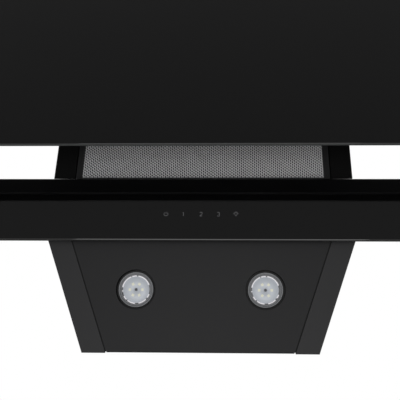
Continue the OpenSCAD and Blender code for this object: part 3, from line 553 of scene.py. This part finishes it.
def zigzag_net():
    """Bars at x = k * pitch + (-1)^(i + k) * swing at the heights s_i, as sections of four corners."""
    reach = int(NET_HALF_W / NET_PITCH)
    bars = np.arange(-reach, reach + 1)
    steps = np.arange(int((NET_HIGH - NET_LOW) / NET_STEP) + 1)
    turn = np.where((bars[:, None] + steps[None, :]) % 2, 1.0, -1.0)
    x = bars[:, None] * NET_PITCH + turn * (NET_PITCH - STRAND_W * BOND) / 2
    across = np.array([1, 1, -1, -1]) * STRAND_W / 2
    deep = np.array([1, -1, -1, 1]) * STRAND_T / 2
    lean = np.radians(np.where(bars % 2, *STRAND_TILTS))[:, None, None]
    grid = np.empty((len(bars), len(steps), 4, 3))
    grid[..., 0] = x[..., None] + across * np.cos(lean) - deep * np.sin(lean)
    grid[..., 1] = NET_LOW + steps[None, :, None] * NET_STEP
    grid[..., 2] = NET_N + across * np.sin(lean) + deep * np.cos(lean)
    return grid


def bars_piece(name, grid, body, finish):
    """Bars of shape (bar, section, corner, 3): four sides along each bar and a cap at each of its ends."""
    count, steps, corners = grid.shape[:3]
    side = grid_faces(steps, corners, False, True)
    last = (steps - 1) * corners
    caps = np.array([[0, 1, 2, 3], [last + 3, last + 2, last + 1, last]])
    one = np.vstack([side, caps])
    faces = (one[None] + (np.arange(count) * steps * corners)[:, None, None]).reshape(-1, 4)
    return make_piece(name, grid.reshape(-1, 3), faces, body, finish, smooth=False)


net = zigzag_net()
filter_net = bars_piece("filter_net", on_front(net), "hood_body", FINISHES["filter_metal"])
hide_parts("filter_mesh")
print("filter net: bars", net.shape[0], "faces", len(filter_net.data.polygons))

# %% [markdown]
# ## Lamps
#
# A lamp is a turned ring that holds a white board with six light chips. Turned parts are a profile carried
# round an axis, so a few pairs of (radius, height) describe each. The ring has a narrow lip, a groove
# and a rounded crest. The board has a moulded wall at its rim that is broken by clips and wires, so it
# is a few arcs, and each arc is the same small profile carried over its own range of angles.

# %% Turned parts
LAMP_X, LAMP_S = 91.75 * MM, 89 * MM


def turned(profile, centre, turns):
    """(radius, n) pairs carried round an axis on the lamp panel: centre + radius (cos t, sin t), at n."""
    r, n = (np.array(profile) * MM).T
    t = np.asarray(turns)[None, :]
    x = centre[0] + r[:, None] * np.cos(t)
    s = centre[1] + r[:, None] * np.sin(t)
    return on_base(np.stack([x, s, np.broadcast_to(n[:, None], x.shape)], -1))


def lamp_ring(side, centre):
    """The bezel: a closed profile carried all the way round."""
    ring = grid_piece("lamp_ring_" + side, turned(BEZEL, centre, FULL_TURN), "hood_body",
                      FINISHES["lamp_bezel_metal"], wrap_rows=True, wrap_columns=True)
    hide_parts("lamp_bezel_" + side)


def lamp_disc(side, centre):
    """The board, white out to a set radius from its middle and grey beyond it: the grey is painted shade in
    the groove under its rim wall and by the bezel.
    """
    disc = grid_piece("lamp_disc_" + side, turned(BOARD, centre, FULL_TURN), "hood_body",
                      FINISHES["lamp_board_white"], wrap_columns=True)
    # Past a set radius the board takes the bezel's darker grey: painted shade in the groove under the rim
    # wall and by the bezel.
    reach = np.linalg.norm(face_values(disc.data, "center") - on_base([*centre, DISC_N]), axis=1)
    second_finish(disc.data, FINISHES["lamp_bezel_metal"], reach > GROOVE_SHADE_FROM)
    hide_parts("lamp_board_" + side)


def lamp_rim(side, centre, number, start, end):
    """One arc of the board's wall, from start to end in degrees: its sides, and a cap at each end."""
    turns = np.radians(np.linspace(start, end, max(4, (end - start) // 3)))
    wall = turned(RIM_WALL, centre, turns)
    rows, columns = wall.shape[:2]
    first = np.arange(rows) * columns
    faces = [*grid_faces(rows, columns, True, False), first, first + columns - 1]
    name = "lamp_rim_%s_%d" % (side, number)
    piece = make_piece(name, wall.reshape(-1, 3), faces, "hood_body", RIM_PAINTED_GLOW, smooth=False)


FULL_TURN = np.linspace(0, 2 * np.pi, 72, endpoint=False)
BEZEL = [(20.5, -8), (20.5, -5.3), (20.7, -5.0), (21.5, -4.9), (21.8, -5.2), (22.1, -5.5), (22.5, -5.5),
         (22.8, -5.2), (23.0, -4.4), (23.4, -4.05), (24.2, -4.0), (24.7, -4.2), (25, -4.7), (25, -8)]
BOARD = [(0, -8), (20.45, -8), (20.45, -7.3), (20.2, -7.1), (18.9, -7.1), (18.7, -7.3), (18.3, -7.3),
         (18.1, -7), (2.6, -7), (2.4, -7.2), (0, -7.2)]
RIM_WALL = [(18.7, -7.1), (18.7, -6.5), (18.9, -6.35), (20.1, -6.35), (20.3, -6.5), (20.3, -7.1)]
RIM_ARCS = [(20, 82), (88, 108), (112, 170), (184, 188), (208, 226), (232, 266), (281, 316), (325, 341)]
DISC_N, GROOVE_SHADE_FROM = -7 * MM, 18.5 * MM
for side, sign in (("left", -1), ("right", 1)):
    centre = (sign * LAMP_X, LAMP_S)
    lamp_ring(side, centre)
    lamp_disc(side, centre)
    for number, (start, end) in enumerate(RIM_ARCS, 1):
        lamp_rim(side, centre, number, start, end)
print("rim arcs on each lamp:", len(RIM_ARCS))

# %% [markdown]
# ## Touch keys
#
# The keys are marks printed on the glass: power, speeds one to three, and light. A printed mark is a stroke
# of even width, so each is a list of paths, and each path becomes a very thin bar. Text objects would
# bring a typeface in with them, and these marks only have to be plain signs.

# %% Key marks


def arc(x, y, radius, start, end, count=20):
    """Points of an arc, with its angles in degrees."""
    t = np.radians(np.linspace(start, end, count))
    return np.column_stack([x + radius * np.cos(t), y + radius * np.sin(t)])


def stroke(path, centre, width, low, high):
    """A thin bar along a path in millimetres, with half its width to each side of the path."""
    path = np.asarray(path, float) * MM
    along = np.gradient(path, axis=0)
    along /= np.linalg.norm(along, axis=1, keepdims=True)
    away = np.column_stack([-along[:, 1], along[:, 0]]) * width / 2
    flat = [path + away, path - away, path - away, path + away]
    grid = np.stack([np.column_stack([p + centre, np.full(len(p), n)])
                     for p, n in zip(flat, (low, low, high, high))], axis=1)
    return grid[None]


RAYS = [[(3.0 * np.cos(t), 0.7 + 3.0 * np.sin(t)), (4.0 * np.cos(t), 0.7 + 4.0 * np.sin(t))]
        for t in np.radians([0, 45, 90, 135, 180])]
KEYS = {
    "power": [arc(0, 0, 2.9, 125, 415), [(0, 0.8), (0, 3.7)]],
    "one": [[(-0.9, 2.4), (0, 3.2), (0, -3.2)]],
    "two": [np.vstack([arc(0, 1.4, 1.8, 160, -35), [(-1.8, -3.1)]]), [(-1.9, -3.1), (1.9, -3.1)]],
    "three": [arc(-0.1, 1.5, 1.65, 150, -90), arc(-0.1, -1.6, 1.8, 90, -150)],
    "light": [arc(0, 0.7, 2.0, -60, 240), [(-0.9, -2.0), (0.9, -2.0)], [(-0.6, -3.0), (0.6, -3.0)], *RAYS],
}
KEY_PITCH, KEY_S, GLASS_FRONT = 25 * MM, 25.8 * MM, LOWER_BACK + GLASS_T
INK_W, INK_LOW, INK_HIGH = 0.75 * MM, GLASS_FRONT - 0.02 * MM, GLASS_FRONT + 0.04 * MM
for order, (key, paths) in enumerate(KEYS.items()):
    centre = [(order - (len(KEYS) - 1) / 2) * KEY_PITCH, KEY_S]
    for number, path in enumerate(paths, 1):
        grid = on_front(stroke(path, centre, INK_W, INK_LOW, INK_HIGH))
        mark = bars_piece("key_%s_%d" % (key, number), grid, "hood_body", KEY_INK)
print("keys:", ", ".join(KEYS))

# %% [markdown]
# ## Studio
#
# Black glass shows only what it mirrors, so the studio decides how it looks. The panels face a dim, even
# grey, while the camera itself sees a white backdrop. A pale floor far below is lit by one broad sun from
# above, and a wide softbox under the hood lights the lamp panel and the filter. The softbox stands where
# the leaning glass doesn't mirror it to the camera, so no bright shape shows in the panels.

# %% Floor, backdrop and sun
FLOOR_Z, FLOOR_HALF = -1.9, 2.6
corners = np.array([[[-1, -1, 0], [1, -1, 0]], [[-1, 1, 0], [1, 1, 0]]]) * FLOOR_HALF + [0, 0, FLOOR_Z]
floor_paint = Finish("floor_paint", (0.82, 0.82, 0.81), 0.7)
floor_paint.feed("Base Color", floor_paint.shade(floor_paint.noise(3, 2), 0.97, 1.02))
floor_mesh = bpy.data.meshes.new("floor")
floor_mesh.from_pydata(corners.reshape(-1, 3).tolist(), [], grid_faces(2, 2, False, False).tolist())
floor_mesh.materials.append(floor_paint.material)
floor = bpy.data.objects.new("floor", floor_mesh)
bpy.context.scene.collection.objects.link(floor)

MIRRORED_GREY, BACKDROP_WHITE = (0.25, 0.165), 1.0                   # the grey falls between two heights
GREY_HEIGHTS = (-0.05, 0.4)
world = bpy.data.worlds.new("studio")
world.use_nodes = True
bpy.context.scene.world = world
tree = world.node_tree
way = add_node(tree, "ShaderNodeTexCoord", {}, {}).outputs["Generated"]
height = add_node(tree, "ShaderNodeSeparateXYZ", {}, {"Vector": way}).outputs["Z"]
span = dict(zip(("From Min", "From Max", "To Min", "To Max"), GREY_HEIGHTS + MIRRORED_GREY))
grey = add_node(tree, "ShaderNodeMapRange", {}, {"Value": height, **span}).outputs["Result"]
seen = add_node(tree, "ShaderNodeLightPath", {}, {}).outputs["Is Camera Ray"]
level = add_node(tree, "ShaderNodeMix", {}, {"Factor": seen, "A": grey, "B": BACKDROP_WHITE})
background = tree.nodes["Background"]
background.inputs["Color"].default_value = (1, 1, 1, 1)
tree.links.new(level.outputs["Result"], background.inputs["Strength"])

SUN_POWER, SUN_SPREAD, SUN_WAY = 2.4, np.radians(50), np.radians([20, 0, 15])
sun_data = bpy.data.lights.new("sun", "SUN")
sun_data.energy, sun_data.angle = SUN_POWER, SUN_SPREAD
sun = bpy.data.objects.new("sun", sun_data)
sun.rotation_euler = SUN_WAY
bpy.context.scene.collection.objects.link(sun)

BOX_POWER, BOX_SIZE = 9.0, 1.0
BOX_AT, BOX_AIM = Vector((0, -0.65, -1.7)), Vector((0, -0.2, -0.25))
glow_data = bpy.data.lights.new("low_softbox", "AREA")
glow_data.energy, glow_data.size = BOX_POWER, BOX_SIZE
glow = bpy.data.objects.new("low_softbox", glow_data)
glow.location = BOX_AT
glow.rotation_euler = (BOX_AIM - BOX_AT).to_track_quat("-Z", "Y").to_euler()
glow.visible_camera = False
bpy.context.scene.collection.objects.link(glow)
bpy.context.scene.view_settings.view_transform = "Standard"
print("floor at", FLOOR_Z, "m")
